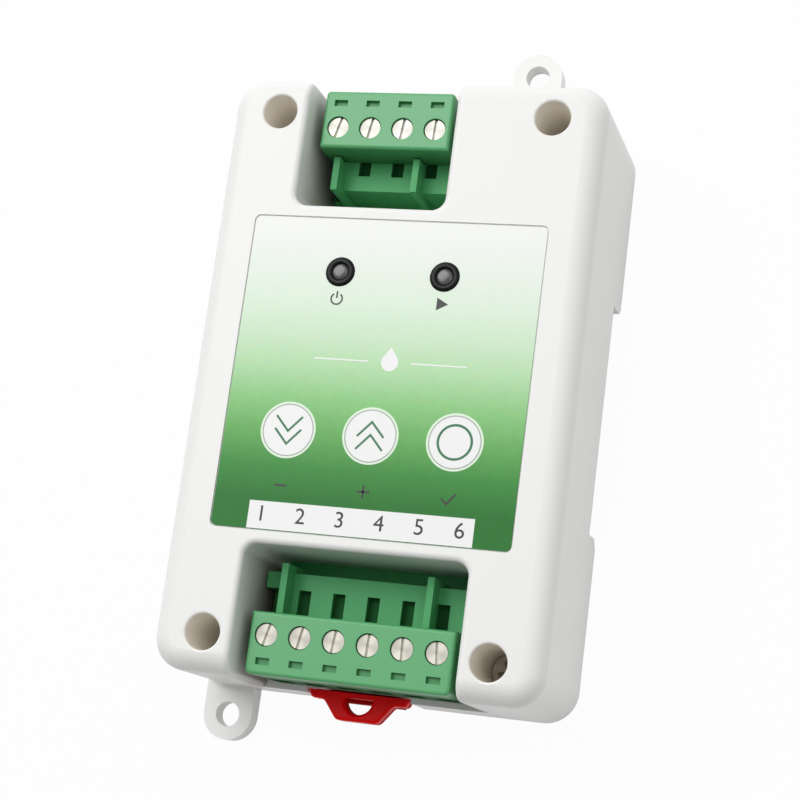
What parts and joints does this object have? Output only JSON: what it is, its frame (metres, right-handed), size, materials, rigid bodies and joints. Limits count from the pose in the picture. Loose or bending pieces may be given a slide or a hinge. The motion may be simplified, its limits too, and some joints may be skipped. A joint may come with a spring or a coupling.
{
  "type": "leak detection controller",
  "caption": "Low plastic case with a label film, two lamps and three keys, a pluggable screw terminal in a well at each end, and a rail clip on the back.",
  "frame": {"origin": "middle of the rail seat: half-way along the groove across the back, on its floor, where the front of the rail's flanges lies", "axes": "+Z out of the front with the label, +Y along the case towards the four-pole terminal, +X to the right seen from the front"},
  "size_m": [0.0584, 0.1131, 0.0267],
  "materials": {
    "case_white": "fine satin moulded plastic",
    "label_print": "printed film, white to dark green",
    "clip_red": "smooth moulded plastic",
    "board_green": "solder mask over glass laminate",
    "header_green": "smooth moulded plastic",
    "plug_green": "smooth moulded plastic",
    "tinned_metal": "tinned, slightly dull",
    "screw_steel": "zinc plated",
    "clamp_brass": "nickel plated over brass",
    "lamp_lens": "clear grey resin, unlit",
    "holder_black": "black moulded plastic",
    "switch_black": "black moulded plastic",
    "plunger_white": "moulded plastic",
    "relay_blue": "sealed plastic case",
    "capacitor_sleeve": "shrink sleeve",
    "chip_black": "moulded epoxy",
    "crystal_can": "drawn steel can",
    "resistor_black": "glazed ceramic chip"
  },
  "bodies": {
    "case": {"rear_base": "case_white", "front_cover": "case_white", "label_film": "label_print", "circuit_board": "board_green", "upper_header": "header_green", "upper_header_pins": "tinned_metal", "lower_header": "header_green", "lower_header_pins": "tinned_metal", "cover_screws": "screw_steel", "power_led_holder": "holder_black", "power_led": "lamp_lens", "work_led_holder": "holder_black", "work_led": "lamp_lens", "down_key_switch": "switch_black", "up_key_switch": "switch_black", "confirm_key_switch": "switch_black", "alarm_relay": "relay_blue", "control_relay": "relay_blue", "smoothing_capacitor": "capacitor_sleeve", "controller_chip": "chip_black", "driver_chip": "chip_black", "voltage_regulator": "chip_black", "crystal": "crystal_can", "flyback_diodes": "chip_black", "chip_resistors": "resistor_black"},
    "rail_clip": {"rail_clip": "clip_red"},
    "upper_plug": {"upper_plug": "plug_green", "upper_plug_screws": "screw_steel", "upper_plug_clamps": "clamp_brass"},
    "lower_plug": {"lower_plug": "plug_green", "lower_plug_screws": "screw_steel", "lower_plug_clamps": "clamp_brass"},
    "down_key": {"down_key_plunger": "plunger_white"},
    "up_key": {"up_key_plunger": "plunger_white"},
    "confirm_key": {"confirm_key_plunger": "plunger_white"}
  },
  "joints": [
    {"name": "rail_clip_slide", "type": "slide", "parent": "case", "child": "rail_clip", "axis": [0, -1, 0], "range_m": [0, 0.003]},
    {"name": "lower_plug_slide", "type": "slide", "parent": "case", "child": "lower_plug", "axis": [0, -1, 0], "range_m": [0, 0.006]},
    {"name": "upper_plug_slide", "type": "slide", "parent": "case", "child": "upper_plug", "axis": [0, 1, 0], "range_m": [0, 0.006]},
    {"name": "down_key_press", "type": "slide", "parent": "case", "child": "down_key", "axis": [0, 0, -1], "range_m": [0, 0.00025], "stiffness_N_per_m": 4000},
    {"name": "up_key_press", "type": "slide", "parent": "case", "child": "up_key", "axis": [0, 0, -1], "range_m": [0, 0.00025], "stiffness_N_per_m": 4000},
    {"name": "confirm_key_press", "type": "slide", "parent": "case", "child": "confirm_key", "axis": [0, 0, -1], "range_m": [0, 0.00025], "stiffness_N_per_m": 4000}
  ]
}
